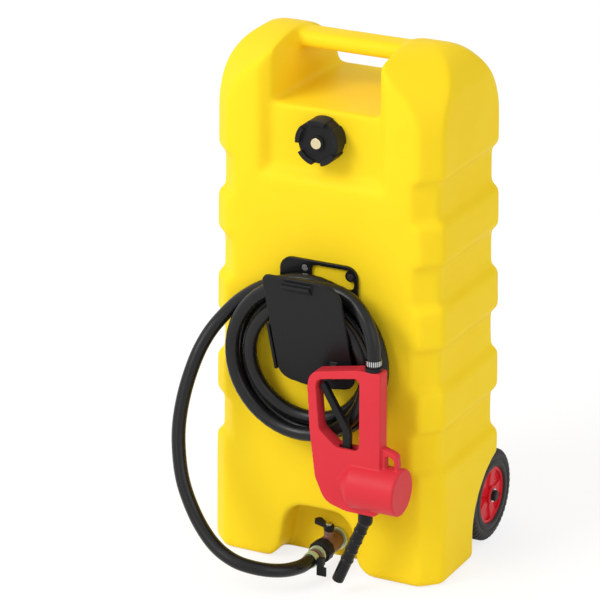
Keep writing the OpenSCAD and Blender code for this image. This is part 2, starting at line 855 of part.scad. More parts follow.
// Wheels: the right one, and its mirror image
module tyre() {
    r = tyre_round;
    bead_r = hub_r + fit_gap / 2;
    color(soft_black) on_axle() rotate([0, 90, 0]) rotate_extrude() union() {
        translate([bead_r, tyre_in]) square([wheel_r - r - bead_r, tyre_w]);
        translate([bead_r, tyre_in + r]) square([wheel_r - bead_r, tyre_w - 2 * r]);
        for (x = [tyre_in + r, tyre_out - r]) translate([wheel_r - r, x]) circle(r);
    }
}
module hub() {
    rim_out = tyre_out - hub_inset;
    spoke_end = hub_r - hub_rim + lap;
    color(nozzle_red) on_axle() difference() {
        union() {
            ring_x(hub_r, hub_r - hub_rim, tyre_in + hub_inset, rim_out);
            rod_x(hub_r - lap, hub_web_x, hub_web_x + hub_web_t);
            rod_x(boss_r, tyre_in, tyre_out);
            for (i = [0 : hub_spokes - 1]) rotate([360 * i / hub_spokes, 0, 0]) rotate([90, 0, 90])
                translate([0, 0, hub_web_x + lap]) linear_extrude(rim_out - hub_web_x - hub_inset) polygon([
                    [bush_r + lap, -spoke_root / 2], [spoke_end, -spoke_tip / 2],
                    [spoke_end, spoke_tip / 2], [bush_r + lap, spoke_root / 2]
                ]);
        }
        rod_x(bush_r, -far, far);
    }
}
module hub_bush() {
    color([0.9, 0.9, 0.86]) on_axle() ring_x(bush_r - fit_gap / 2, axle_r + run_gap, tyre_in, tyre_out);
}
module tyre_right() { tyre(); }
module tyre_left() { mirror([1, 0, 0]) tyre(); }
module hub_right() { hub(); }
module hub_left() { mirror([1, 0, 0]) hub(); }
module hub_bush_right() { hub_bush(); }
module hub_bush_left() { mirror([1, 0, 0]) hub_bush(); }
module wheel_washers() {
    color(zinc) for (s = [0, 1]) mirror([s, 0, 0]) on_axle() {
        ring_x(washer_r, axle_r + fit_gap / 2, tyre_out + fit_gap, tyre_out + fit_gap + washer_t);
        ring_x(washer_r, axle_r + fit_gap / 2, well_x, tyre_in - fit_gap);
    }
}
module axle_caps() {
    start = tyre_out + fit_gap + washer_t;
    color(hard_black) for (s = [0, 1]) mirror([s, 0, 0]) on_axle() difference() {
        union() {
            rod_x(axle_cap_r, start, start + axle_cap_l - axle_cap_bevel);
            translate([start + axle_cap_l - axle_cap_bevel, 0, 0]) rotate([0, 90, 0])
                cylinder(axle_cap_bevel, r1 = axle_cap_r, r2 = axle_cap_r - axle_cap_bevel);
        }
        rod_x(axle_r + fit_gap / 2, start - lap, axle_end + fit_gap / 2);
    }
}

// Hose hanger
module rounded_plate(x1, x2, z1, z2, r) {
    polygon(rounded([[x1, z1, r], [x2, z1, r], [x2, z2, r], [x1, z2, r]]));
}
module hanger_frame() {
    color(hard_black) difference() {
        translate([0, front_y - frame_t / 2, 0]) along_y(frame_t) union() {
            difference() {
                rounded_plate(frame_x - frame_half, frame_x + frame_half, frame_low, frame_high,
                    frame_corner);
                rounded_plate(frame_window[0], frame_window[1], frame_window[2], frame_high - frame_bar,
                    frame_boss_r);
            }
            translate(hanger_screw_at[1]) circle(frame_boss_r);
        }
        hanger_holes(screw_d / 2, frame_y - lap, frame_t + 2 * lap);
        hanger_holes(screw_head_d / 2 + fit_gap / 2, frame_y - lap, screw_head_t + lap);
    }
}
module hanger_screws() {
    color(zinc) union() {
        hanger_holes(screw_d / 2 - fit_gap / 2, frame_y + lap, frame_t + hanger_screw_l - 2 * lap);
        hanger_holes(screw_head_d / 2, frame_y, screw_head_t);
    }
}
module on_panel() {
    translate([panel_x, frame_y - panel_stand, panel_z]) rotate([panel_tilt, 0, 0]) children();
}
module behind_panel() {
    intersection() {
        children();
        on_panel() box(-far, far, -1, far, -far, far);
    }
}
module hanger_panel() {
    back = frame_y - fit_gap;
    hook_y = nozzle_y + nozzle_half + lap;
    hook_tip = nozzle_y + trigger_t / 2 + lap;
    window_left = window_outline[0];
    window_top = window_outline[1] - window_left;
    hook_z = nozzle_z + window_left.y - fit_gap
        + window_top.y / window_top.x * (hook_x - hook_w / 2 - nozzle_x - window_left.x);
    color(hard_black) union() {
        on_panel() translate([0, -panel_t / 2, 0]) along_y(panel_t) polygon(rounded([
            [-panel_w / 2, panel_bow, panel_low_round], [0, 0, panel_bow_r],
            [panel_w / 2, panel_bow, panel_low_round],
            [panel_w / 2, panel_l, panel_right_round], [-panel_w / 2, panel_l, panel_left_round]
        ]));
        behind_panel() translate([coil_x, back, coil_z]) intersection() {
            ring_y(saddle_r, saddle_r - saddle_t, 0, -far);
            box(-saddle_half, saddle_half, -far, lap, 0, far);
        }
        behind_panel() for (x = [-saddle_half, saddle_half - saddle_t])
            translate([coil_x + x, 0, 0]) box(0, saddle_t, back - far, back, neck_low,
                coil_z + sqrt(pow(saddle_r - saddle_t, 2) - pow(saddle_half, 2)) + saddle_t);
        on_panel() translate([lip_x, 0, panel_l - lip_drop])
            along_x(lip_w) polygon([
                [-lap, -lip_h], [-lap, 0], [-panel_t - lip_out, 0],
                [-panel_t - lip_out, -lip_edge], [-panel_t, -lip_h]
            ]);
        intersection() {
            translate([hook_x, 0, 0]) along_x(hook_w) polygon([
                [back, hook_z - 2 * hook_t], [hook_tip, hook_z - hook_t], [hook_tip, hook_z],
                [hook_y, hook_z], [hook_y, hook_z + 2 * hook_t], [back, hook_z - 2 * hook_t + hook_root]
            ]);
            on_panel() box(-far, far, -far, 0, -far, far);
        }
    }
}

// Outlet and valve, on the outlet's axis
module on_outlet() { translate([outlet_x, 0, outlet_z]) children(); }
module outlet_fitting() {
    color(zinc) on_outlet() difference() {
        union() {
            rod_y(outlet_r, inner_y + lock_gasket_t + lock_nut_t + 2, niche_y - lap);
            rod_y(flange_r, niche_y, valve_in_y);
        }
        rod_y(valve_bore / 2, back_y, valve_in_y - lap);
    }
}
module outlet_gasket() {
    color(soft_black) on_outlet() ring_y(flange_r, outlet_r + fit_gap, inner_y, inner_y + lock_gasket_t);
}
module outlet_lock_nut() {
    start = inner_y + lock_gasket_t;
    color(zinc) on_outlet() difference() {
        translate([0, start + lock_nut_t, 0]) rotate([90, 0, 0])
            cylinder(lock_nut_t, r = flange_r, $fn = 6);
        rod_y(outlet_r + fit_gap / 2, start - lap, start + lock_nut_t + lap);
    }
}
module valve_body() {
    color(zinc) on_outlet() difference() {
        union() {
            rod_y(valve_r - valve_step, valve_in_y, valve_out_y);
            rod_y(valve_r, valve_y + chamber_half + valve_step, valve_y - chamber_half - valve_step);
            rod_y(spigot_r, valve_out_y + lap, spigot_y);
            translate([0, valve_y, 0]) cylinder(boss_top, r = stem_d / 2 + stem_wall);
        }
        rod_y(valve_bore / 2, valve_in_y + lap, spigot_y - lap);
        rod_y(chamber_r, valve_y + chamber_half, valve_y - chamber_half);
        translate([0, valve_y, 0]) cylinder(boss_top + lap, r = stem_d / 2 + run_gap);
    }
}
module valve_seats() {
    color([0.93, 0.93, 0.9]) on_outlet() difference() {
        for (s = [-1, 1]) ring_y(chamber_r - fit_gap / 2, valve_bore / 2,
            valve_y + s * (chamber_half - seat_gap), valve_y + s * (chamber_half - seat_t));
        translate([0, valve_y, 0]) sphere(ball_r + seat_gap);
        translate([0, valve_y, 0]) cylinder(boss_top, r = stem_d / 2 + run_gap);
    }
}
module valve_ball() {
    color(zinc) on_outlet() translate([0, valve_y, 0]) difference() {
        sphere(ball_r);
        rotate([0, 90, 0]) cylinder(far, r = valve_bore / 2, center = true);
        translate([0, 0, stem_seat]) cylinder(ball_r, r = ball_r);
    }
}
module valve_stem() {
    color(zinc) on_outlet() translate([0, valve_y, 0]) difference() {
        translate([0, 0, stem_seat]) cylinder(stem_top - stem_seat, r = stem_d / 2);
        translate([0, 0, stem_top - handle_screw_l]) cylinder(far, r = handle_screw_d / 2 + fit_gap / 2);
    }
}
module valve_handle() {
    tip = handle_w / 2;
    neck = handle_neck_w / 2;
    color(hard_black) on_outlet() translate([0, valve_y, handle_z]) difference() {
        linear_extrude(handle_t) union() {
            circle(handle_hub_r);
            rotate(-handle_turn) polygon(rounded([
                [-handle_l, -tip, 5], [-handle_neck, -neck, 4], [0, -neck, lap], [0, neck, lap],
                [-handle_neck, neck, 4], [-handle_l, tip, 5]
            ]));
        }
        translate([0, 0, -1]) cylinder(handle_t + 2, r = stem_d / 2 + fit_gap / 4);
    }
}
module handle_screw() {
    color(zinc) on_outlet() translate([0, valve_y, stem_top]) union() {
        cylinder(handle_head_t, r = handle_head_r);
        translate([0, 0, 1 - handle_screw_l]) cylinder(handle_screw_l, r = handle_screw_d / 2);
    }
}
module union_seal() {
    color(soft_black) on_outlet() ring_y(spigot_r - lap, valve_bore / 2, spigot_y, tail_y);
}
module union_nut() {
    color(hard_black) on_outlet() difference() {
        union() {
            translate([0, nut_back_y, 0]) rotate([90, 0, 0])
                cylinder(nut_back_y - nut_front_y - nut_step, r = nut_d / 2, $fn = nut_sides);
            rod_y(nut_d / 2 - nut_step, nut_back_y - lap, nut_front_y);
        }
        rod_y(spigot_r + fit_gap, nut_back_y + lap, nut_lip_y);
        rod_y(tail_r + fit_gap, nut_back_y, nut_front_y - lap);
    }
}
module hose_barb() {
    color(zinc) on_outlet() difference() {
        union() {
            rod_y(spigot_r, tail_y, tail_y - tail_flange_t);
            rod_y(tail_r, tail_y - lap, hose_start_y);
            rod_y(tail_ring_r, nut_front_y - tail_ring_gap, nut_front_y - tail_ring_gap - tail_ring_t);
            rod_y(collar_r, hose_start_y + collar_t, hose_start_y);
            rod_y(barb_r, hose_start_y + lap, hose_start_y - barb_l);
        }
        rod_y(barb_r - barb_wall, tail_y + lap, hose_start_y - barb_l - lap);
    }
}
module hose_clamp() {
    band_r = hose_r + fit_gap + clamp_t;
    color(zinc) on_outlet() difference() {
        union() {
            rod_y(band_r, clamp_y, clamp_y - clamp_w);
            box(0, key_x + housing_w / 2, clamp_y - clamp_w, clamp_y, -housing_h / 2, housing_h / 2);
        }
        rod_y(hose_r + fit_gap, clamp_y + lap, clamp_y - clamp_w - lap);
        translate([key_x, clamp_y - clamp_w / 2, -housing_h]) cylinder(housing_h, r = key_d / 2 + run_gap);
    }
}
module clamp_key() {
    low = -key_play - key_flange_t;
    color(hard_black) on_outlet() translate([key_x, clamp_y - clamp_w / 2, -housing_h / 2]) union() {
        translate([0, 0, low]) cylinder(key_l - low, r = key_d / 2);
        translate([0, 0, low]) cylinder(key_flange_t, r = key_flange_r);
        translate([-wing_w / 2, -wing_t / 2, low - wing_h]) cube([wing_w, wing_t, wing_h + lap]);
    }
}

// Hose: the coil on the hanger and its free stretch
function coil_radius(t) =
    t < coil_in ? coil_r - coil_step * t
    : t < coil_in + coil_climb
        ? coil_small - coil_step * coil_climb / PI * sin(180 * (t - coil_in) / coil_climb)
        : coil_small + coil_spread * (t - coil_in - coil_climb);
function coil_point(t) =
    let (a = 360 * t, r = coil_radius(t))
    [coil_x + r * sin(a), coil_y - layer_step * smooth((t - coil_in) / coil_climb), coil_z + r * cos(a)];
lead_z = coil_z + coil_radius(coil_turns);
lead_y = coil_y - layer_step;
lead_x = nozzle_x - lead_r;
lead_steps = 8;
lead_arc = [for (i = [0 : lead_steps]) let (a = 90 * i / lead_steps, y = smooth(i / lead_steps))
    [lead_x + lead_r * sin(a), lead_y + (nozzle_y - lead_y) * y, lead_z - lead_r + lead_r * cos(a)]];
// Straight bit on both sides of the seam between the coil and the free stretch
seam = coil_point(0) - [hose_d, 0, seam_dip];
seam_bit = seam_half * [cos(seam_slope), 0, sin(seam_slope)];
coil_path = concat(
    [seam, seam + seam_bit],
    [for (i = [0 : coil_turns * loop_rings]) coil_point(i / loop_rings)],
    lead_arc,
    [[nozzle_x, nozzle_y, hose_end_z]]
);
free_path = concat(
    [[outlet_x, hose_start_y, outlet_z]],
    spline(concat(free_route, [seam - seam_bit]), 2),
    [seam]
);

// Least gap of the coil to itself, between places over half a turn apart
coil_apart = loop_rings / 2;
coil_gap = min([for (i = [0 : len(coil_path) - 1 - coil_apart])
    min([for (k = [i + coil_apart : len(coil_path) - 1]) norm(coil_path[i] - coil_path[k])])]) - hose_d;
echo(coil_gap_mm = coil_gap, hose_length_mm = path_length(coil_path) + path_length(free_path));

module hose_coil() {
    color(soft_black) difference() {
        tube(coil_path, hose_r, coil_sides, [0, 1, 0]);
        translate([nozzle_x, nozzle_y, hose_end_z - lap]) cylinder(inlet_barb_l + lap, r = hose_bore / 2);
    }
}
module hose_free() {
    color(soft_black) difference() {
        tube(free_path, hose_r, free_sides, [1, 0, 0]);
        on_outlet() rod_y(hose_bore / 2, hose_start_y + lap, hose_start_y - barb_l);
    }
}
module hose_ferrule() {
    color(zinc) translate([nozzle_x, nozzle_y, ferrule_z]) difference() {
        cylinder(ferrule_w, r = hose_r + fit_gap + ferrule_t);
        translate([0, 0, -1]) cylinder(ferrule_w + 2, r = hose_r + fit_gap);
    }
}
module nozzle_inlet() {
    color(hard_black) translate([nozzle_x, nozzle_y, nozzle_z]) difference() {
        union() {
            cylinder(inlet_t, r = inlet_r);
            translate([0, 0, -inlet_stub]) cylinder(inlet_stub + lap, r = barrel_bore / 2 - fit_gap / 2);
            cylinder(inlet_t + inlet_barb_l, r = barb_r);
        }
        translate([0, 0, -far / 2]) cylinder(far, r = inlet_bore / 2);
    }
}

// Nozzle shells, split at the middle plane
module nozzle_flat() {
    difference() {
        polygon(rounded(nozzle_outline));
        polygon(rounded(window_outline));
    }
}
module on_nozzle() { translate([nozzle_x, nozzle_y, nozzle_z]) children(); }
module screw_places() { for (at = nozzle_screw_at) translate([at.x, 0, at.y]) children(); }
module nozzle_solid() {
    pump_drop = pump_z - nozzle_z;
    difference() {
        union() {
            along_y(nozzle_t) nozzle_flat();
            translate([pump_in_x - nozzle_x - pump_dome, 0, pump_drop]) rotate([0, 90, 0])
                cylinder(pump_dome, r1 = pump_r - pump_dome, r2 = pump_r);
            tab_loop();
        }
        translate([0, 0, pump_drop + pump_r - lap]) cylinder(far, r = barrel_bore / 2);
        translate([0, 0, pump_drop]) rod_x(pump_r + fit_gap, pump_in_x - nozzle_x, far);
        translate([spout_x - nozzle_x, 0, -far])
            cylinder(far + pump_drop, r = spout_collar_d / 2 + fit_gap / 2);
        mechanism_space();
        translate([pivot_x - nozzle_x, 0, pivot_z - nozzle_z])
            rod_y(pin_d / 2 + run_gap, pin_cover - nozzle_half, nozzle_half - pin_cover);
        screw_places() {
            rod_y(nozzle_screw_d / 2 + fit_gap / 2, nozzle_half + lap, nozzle_head_low - nozzle_half);
            rod_y(nozzle_head_d / 2 + fit_gap / 2, nozzle_half + lap, nozzle_half - nozzle_head_low);
        }
    }
}

// Loop on the right of the barrel, over the pump
module tab_loop() {
    translate([barrel_r - 2 * lap, 0, pump_z - nozzle_z + pump_r])
        along_y(tab_t) polygon(rounded(tab_outline));
}

// Room inside for the trigger's tail and the pump's rod
module mechanism_space() {
    left = lobe_x - yoke_gap / 2 - yoke_wall - pump_stroke - 2 * lap - nozzle_x;
    right = pump_in_x - nozzle_x + lap;
    low = pump_z - yoke_h - nozzle_z;
    high = pivot_z + room_over - nozzle_z;
    deep = trigger_t / 2 + slot_gap;
    box(left, right, -deep, deep, low, high);
    box(pivot_x - tail_room[0] - nozzle_x, pivot_x + tail_room[1] - nozzle_x, -deep, deep,
        low, high + room_over);
}
module nozzle_front() {
    color(nozzle_red) intersection() {
        on_nozzle() nozzle_solid();
        box(-far, far, -far, nozzle_y, -far, far);
    }
}
module nozzle_rear() {
    color(nozzle_red) intersection() {
        on_nozzle() nozzle_solid();
        box(-far, far, nozzle_y, far, -far, far);
    }
}
module nozzle_screws() {
    seat = nozzle_half - nozzle_head_low;
    color(zinc) on_nozzle() screw_places() union() {
        rod_y(nozzle_screw_d / 2, seat + lap, nozzle_head_low + lap - nozzle_half);
        rod_y(nozzle_head_d / 2, seat + nozzle_head_t, seat);
    }
}
module trigger() {
    lobe = [lobe_x - pivot_x, lobe_z - pivot_z];
    color(hard_black) translate([pivot_x, nozzle_y, pivot_z]) difference() {
        union() {
            along_y(trigger_t) polygon(rounded(trigger_outline));
            along_y(trigger_t) polygon([
                [-tail_root, 0], [tail_root, 0], lobe + [tail_half, 0], lobe - [tail_half, 0]
            ]);
            translate([lobe.x, 0, lobe.y]) rod_y(lobe_r, -trigger_t / 2, trigger_t / 2);
        }
        rod_y(pin_d / 2 + run_gap, -far, far);
    }
}
module trigger_pin() {
    half = nozzle_half - pin_cover - pin_play;
    color(zinc) translate([pivot_x, nozzle_y, pivot_z]) rod_y(pin_d / 2, -half, half);
}

// Pump across the nozzle
module on_pump() { translate([0, nozzle_y, pump_z]) children(); }
module pump_barrel() {
    color(nozzle_red) on_pump() difference() {
        rod_x(pump_r, pump_in_x, pump_out_x - pump_cap_t);
        rod_x(pump_bore_r, pump_in_x + pump_wall, far);
        rod_x(rod_r + run_gap, -far, far);
        translate([nozzle_x, 0, 0]) cylinder(far, r = inlet_bore / 2);
        translate([spout_x, 0, -far]) cylinder(far, r = spout_d / 2 - spout_wall);
    }
}
module pump_end_cap() {
    start = pump_out_x - pump_cap_t;
    edge = pump_cap_edge;
    color(nozzle_red) on_pump() union() {
        rod_x(pump_r, start, pump_out_x - edge);
        translate([pump_out_x - edge, 0, 0]) rotate([0, 90, 0])
            cylinder(edge, r1 = pump_r, r2 = pump_r - edge);
        rod_x(pump_bore_r - fit_gap, start - pump_cap_in, start + lap);
    }
}
module pump_piston() {
    yoke_out = lobe_x + yoke_gap / 2 + yoke_wall;
    yoke_in = lobe_x - yoke_gap / 2 - yoke_wall;
    groove_x = piston_x + seal_inset;
    color(hard_black) on_pump() difference() {
        union() {
            rod_x(rod_r, yoke_out - lap, piston_x + lap);
            rod_x(pump_bore_r - piston_gap, piston_x, piston_x + piston_t);
            box(yoke_in, yoke_out, -trigger_t / 2, trigger_t / 2, yoke_floor - yoke_h, lobe_r + lap);
        }
        box(lobe_x - yoke_gap / 2, lobe_x + yoke_gap / 2, -far, far, 2 * yoke_floor - yoke_h, far);
        ring_x(pump_r, pump_bore_r - seal_depth, groove_x, groove_x + seal_w + fit_gap);
    }
}
module piston_seal() {
    start = piston_x + seal_inset + fit_gap / 2;
    inner = pump_bore_r - seal_depth + fit_gap / 2;
    color(soft_black) on_pump() ring_x(pump_bore_r - 2 * run_gap, inner, start, start + seal_w);
}
module pump_spring() {
    start = pump_in_x + pump_wall + spring_wire / 2 + fit_gap;
    end = piston_x - spring_wire / 2 - fit_gap;
    turns = 5;
    steps = turns * 8;
    path = [for (i = [0 : steps]) let (a = 360 * turns * i / steps)
        [start + (end - start) * i / steps, spring_r * cos(a), spring_r * sin(a)]];
    color(zinc) on_pump() tube(path, spring_wire / 2, 6, [0, 1, 0]);
}
module spout() {
    bore = spout_d / 2 - spout_wall;
    color(hard_black) translate([spout_x, nozzle_y, 0]) difference() {
        union() {
            translate([0, 0, spout_bend_z]) cylinder(spout_top - spout_bend_z, r = spout_collar_d / 2);
            translate([0, 0, spout_bend_z]) sphere(spout_collar_d / 2);
            translate([0, 0, spout_bend_z]) rotate([0, 180 + spout_tilt, 0]) {
                cylinder(spout_l, r = spout_d / 2);
                for (i = [0 : spout_ribs - 1]) translate([0, 0, rib_first + i * rib_pitch])
                    cylinder(rib_t, r = spout_d / 2 + rib_h);
            }
        }
        translate([0, 0, spout_bend_z]) cylinder(far, r = bore);
        translate([0, 0, spout_bend_z]) sphere(bore);
        translate([0, 0, spout_bend_z]) rotate([0, 180 + spout_tilt, 0]) cylinder(far, r = bore);
    }
}

tank();
filler_cap();
cap_gasket();
vent_pin();
vent_spring();
vent_cage();
axle();
axle_bracket_left();
axle_bracket_right();
bracket_screws();
tyre_left();
tyre_right();
hub_left();
hub_right();
hub_bush_left();
hub_bush_right();
wheel_washers();
axle_caps();
hanger_frame();
hanger_screws();
hanger_panel();
outlet_fitting();
outlet_gasket();
outlet_lock_nut();
valve_body();
valve_seats();
valve_ball();
valve_stem();
valve_handle();
handle_screw();
union_seal();
union_nut();
hose_barb();
hose_clamp();
clamp_key();
hose_free();
hose_coil();
hose_ferrule();
nozzle_inlet();
nozzle_front();
nozzle_rear();
nozzle_screws();
trigger();
trigger_pin();
pump_barrel();
pump_end_cap();
pump_piston();
piston_seal();
pump_spring();
spout();
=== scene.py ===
import math

import bmesh
import bpy
from mathutils import Matrix, Vector


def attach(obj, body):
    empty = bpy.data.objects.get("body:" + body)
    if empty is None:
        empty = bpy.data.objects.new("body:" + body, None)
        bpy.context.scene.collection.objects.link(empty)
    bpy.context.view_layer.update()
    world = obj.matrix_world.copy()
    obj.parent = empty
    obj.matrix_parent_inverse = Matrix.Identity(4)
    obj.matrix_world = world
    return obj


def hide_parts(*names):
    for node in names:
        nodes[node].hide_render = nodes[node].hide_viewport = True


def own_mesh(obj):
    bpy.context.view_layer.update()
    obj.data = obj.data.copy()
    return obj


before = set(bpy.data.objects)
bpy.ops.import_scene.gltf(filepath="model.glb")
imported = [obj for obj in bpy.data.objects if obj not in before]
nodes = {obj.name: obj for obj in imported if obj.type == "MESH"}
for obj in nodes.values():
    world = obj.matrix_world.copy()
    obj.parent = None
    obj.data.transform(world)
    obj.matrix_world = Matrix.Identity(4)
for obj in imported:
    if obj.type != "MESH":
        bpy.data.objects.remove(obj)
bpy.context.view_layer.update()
scene = bpy.context.scene
MM = 0.001


def link(obj):
    scene.collection.objects.link(obj)
    return obj


def mesh_object(name, bm):
    mesh = bpy.data.meshes.new(name)
    bm.to_mesh(mesh)
    bm.free()
    mesh.shade_smooth()
    return link(bpy.data.objects.new(name, mesh))


# Camera
def make_camera():
    right = Vector((0.89161, 0.45280, 0.0))
    up = Vector((-0.16394, 0.32282, 0.93215))
    back = Vector((0.42207, -0.83112, 0.36207))
    place = Vector((2.35463, -4.83714, 2.49796))
    turn = Matrix((right, up, back)).transposed().to_4x4()
    data = bpy.data.cameras.new("camera")
    data.sensor_width = 36.0
    data.lens = 221.74
    data.clip_end = 80.0
    camera = link(bpy.data.objects.new("camera", data))
    camera.matrix_world = Matrix.Translation(place) @ turn
    scene.camera = camera


make_camera()

# Hose, on the route of the CAD solids, in millimetres
HOSE_R = 11.0
OUTLET = (4.0, -159.8, 34.0)
INLET = (122.0, -196.0, 390.0)
FREE_ROUTE = [
    (4, -180, 34), (1, -203, 34.7), (-11.5, -230.5, 37.8), (-32.5, -252, 43), (-59.5, -265, 49.8),
    (-82, -268.5, 56.5), (-107, -267, 68), (-131, -262.5, 86.5), (-156, -255.5, 116), (-179, -247, 158),
    (-192, -236.5, 202), (-198, -224, 247), (-196, -207.5, 296), (-187, -188, 345), (-174, -170.5, 381),
    (-154, -158, 411), (-125, -151.5, 442), (-85, -149, 469),
]
FREE_STEPS = 5
# The short straight where the free stretch meets the coil
SEAM = (-22.0, 0.0, -1.7)
SEAM_BIT = (7.9, 0.0, 1.25)
# The coil winds inwards, climbs by a layer to the front, and winds out again
COIL_X = -10.0
COIL_Y = -148.6
COIL_Z = 360.0
COIL_R = 129.0
COIL_STEP = 23.0
COIL_SPREAD = 30.0
COIL_LAYER = 22.6
COIL_IN = 1.4
COIL_CLIMB = 0.5
COIL_TURNS = 3.0
TURN_STEPS = 48
# The quarter turn from the coil down to the nozzle
LEAD_R = 84.0
LEAD_STEPS = 20


def ease(t):
    s = min(1.0, max(0.0, t))
    return s * s * (3 - 2 * s)


def coil_radius(t):
    small = COIL_R - COIL_STEP * COIL_IN
    if t < COIL_IN:
        return COIL_R - COIL_STEP * t
    if t < COIL_IN + COIL_CLIMB:
        dip = COIL_STEP * COIL_CLIMB / math.pi
        return small - dip * math.sin(math.pi * (t - COIL_IN) / COIL_CLIMB)
    return small + COIL_SPREAD * (t - COIL_IN - COIL_CLIMB)


def coil_point(t):
    r = coil_radius(t)
    a = 2 * math.pi * t
    y = COIL_Y - COIL_LAYER * ease((t - COIL_IN) / COIL_CLIMB)
    return Vector((COIL_X + r * math.sin(a), y, COIL_Z + r * math.cos(a)))


def through(points, steps):
    """Catmull-Rom curve through a list of points."""
    pts = [Vector(p) for p in points]
    final = len(pts) - 1
    made = []
    for i in range(final):
        a = pts[max(0, i - 1)]
        b = pts[i]
        c = pts[i + 1]
        d = pts[min(final, i + 2)]
        bend = 2 * a - 5 * b + 4 * c - d
        twist = 3 * b - a - 3 * c + d
        for k in range(steps):
            t = k / steps
            made.append(b + 0.5 * t * ((c - a) + t * (bend + t * twist)))
    return made + [pts[-1]]


def hose_route():
    seam = coil_point(0) + Vector(SEAM)
    points = [Vector(OUTLET)]
    points += through(FREE_ROUTE + [seam - Vector(SEAM_BIT)], FREE_STEPS)
    points += [seam, seam + Vector(SEAM_BIT)]
    points += [coil_point(i / TURN_STEPS) for i in range(int(COIL_TURNS * TURN_STEPS) + 1)]
    last = coil_point(COIL_TURNS)
    for i in range(1, LEAD_STEPS + 1):
        a = math.pi / 2 * i / LEAD_STEPS
        x = INLET[0] - LEAD_R + LEAD_R * math.sin(a)
        y = last.y + (INLET[1] - last.y) * ease(i / LEAD_STEPS)
        z = last.z - LEAD_R + LEAD_R * math.cos(a)
        points.append(Vector((x, y, z)))
    points.append(Vector(INLET))
    return [p * MM for p in points]


def make_hose():
    points = hose_route()
    curve = bpy.data.curves.new("hose", "CURVE")
    curve.dimensions = "3D"
    curve.bevel_depth = 1.0
    curve.bevel_resolution = 7
    curve.use_fill_caps = True
    spline = curve.splines.new("POLY")
    spline.points.add(len(points) - 1)
    for place, p in zip(spline.points, points):
        place.co = (*p, 1.0)
        place.radius = HOSE_R * MM
    spline.use_smooth = True
    hose = link(bpy.data.objects.new("hose", curve))
    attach(hose, "caddy")
    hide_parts("hose_free", "hose_coil")
    return hose


hose = make_hose()


# Materials
def material(name, base, other, rough, metal=0.0, patch=9.0, grain=500.0, height=0.04, specular=0.5):
    """Two close colours in soft patches, with a roughness that varies and a fine grain in the surface."""
    mat = bpy.data.materials.new(name)
    mat.use_nodes = True
    tree = mat.node_tree
    shader = tree.nodes["Principled BSDF"]
    shader.inputs["Metallic"].default_value = metal
    shader.inputs["Specular IOR Level"].default_value = specular
    coords = tree.nodes.new("ShaderNodeTexCoord")

    def noise(scale, detail):
        node = tree.nodes.new("ShaderNodeTexNoise")
        node.inputs["Scale"].default_value = scale
        node.inputs["Detail"].default_value = detail
        tree.links.new(coords.outputs["Object"], node.inputs["Vector"])
        return node.outputs["Fac"]

    patches = noise(patch, 4.0)
    fine = noise(grain, 2.0)
    mix = tree.nodes.new("ShaderNodeMix")
    mix.data_type = "RGBA"
    mix.inputs["A"].default_value = (*base, 1)
    mix.inputs["B"].default_value = (*other, 1)
    tree.links.new(patches, mix.inputs["Factor"])
    tree.links.new(mix.outputs["Result"], shader.inputs["Base Color"])
    rough_spread = 0.05
    gloss = tree.nodes.new("ShaderNodeMapRange")
    gloss.inputs["From Min"].default_value = 0.3
    gloss.inputs["From Max"].default_value = 0.7
    gloss.inputs["To Min"].default_value = rough - rough_spread
    gloss.inputs["To Max"].default_value = rough + rough_spread
    tree.links.new(patches, gloss.inputs["Value"])
    tree.links.new(gloss.outputs["Result"], shader.inputs["Roughness"])
    bump = tree.nodes.new("ShaderNodeBump")
    bump.inputs["Strength"].default_value = 0.6
    bump.inputs["Distance"].default_value = height * MM
    tree.links.new(fine, bump.inputs["Height"])
    tree.links.new(bump.outputs["Normal"], shader.inputs["Normal"])
    return mat


TANK = material("tank_plastic", (0.96, 0.69, 0.021), (0.92, 0.645, 0.017), 0.44,
                patch=14.0, grain=260.0, height=0.16, specular=0.04)
PANEL = material("satin_black_plastic", (0.009, 0.009, 0.010), (0.013, 0.013, 0.014), 0.40,
                 grain=1400.0, height=0.03, specular=0.15)
CAP = material("charcoal_plastic", (0.012, 0.012, 0.013), (0.017, 0.017, 0.018), 0.44,
               grain=1100.0, height=0.04, specular=0.11)
GLOSS = material("gloss_black_plastic", (0.006, 0.006, 0.006), (0.009, 0.009, 0.009), 0.24,
                 grain=700.0, height=0.02, specular=0.18)
RUBBER = material("hose_rubber", (0.006, 0.006, 0.006), (0.010, 0.010, 0.010), 0.30,
                  patch=40.0, grain=1600.0, height=0.02, specular=0.28)
SEAL = material("seal_rubber", (0.010, 0.010, 0.010), (0.018, 0.018, 0.018), 0.62,
                grain=900.0, height=0.04)
TYRE = material("tyre_rubber", (0.018, 0.015, 0.014), (0.028, 0.024, 0.022), 0.62,
                patch=30.0, grain=800.0, height=0.08, specular=0.25)
HUB = material("hub_red_plastic", (0.60, 0.006, 0.016), (0.68, 0.009, 0.022), 0.30,
               grain=900.0, height=0.03, specular=0.12)
NOZZLE = material("nozzle_red_plastic", (0.66, 0.036, 0.050), (0.61, 0.030, 0.043), 0.38,
                  grain=800.0, height=0.05, specular=0.12)
STEEL = material("zinc_plated_steel", (0.56, 0.56, 0.55), (0.44, 0.45, 0.44), 0.26,
                 metal=1.0, grain=1500.0, height=0.02)
BRASS = material("pale_brass", (0.76, 0.66, 0.42), (0.68, 0.57, 0.33), 0.30,
                 metal=1.0, grain=1200.0, height=0.02)
BRONZE = material("dull_brass", (0.24, 0.125, 0.085), (0.19, 0.10, 0.07), 0.50,
                  metal=0.35, patch=60.0, grain=600.0, height=0.05)
CHROMATE = material("chromated_zinc", (0.66, 0.76, 0.50), (0.46, 0.64, 0.38), 0.34,
                    metal=0.5, patch=70.0, grain=900.0, height=0.02)
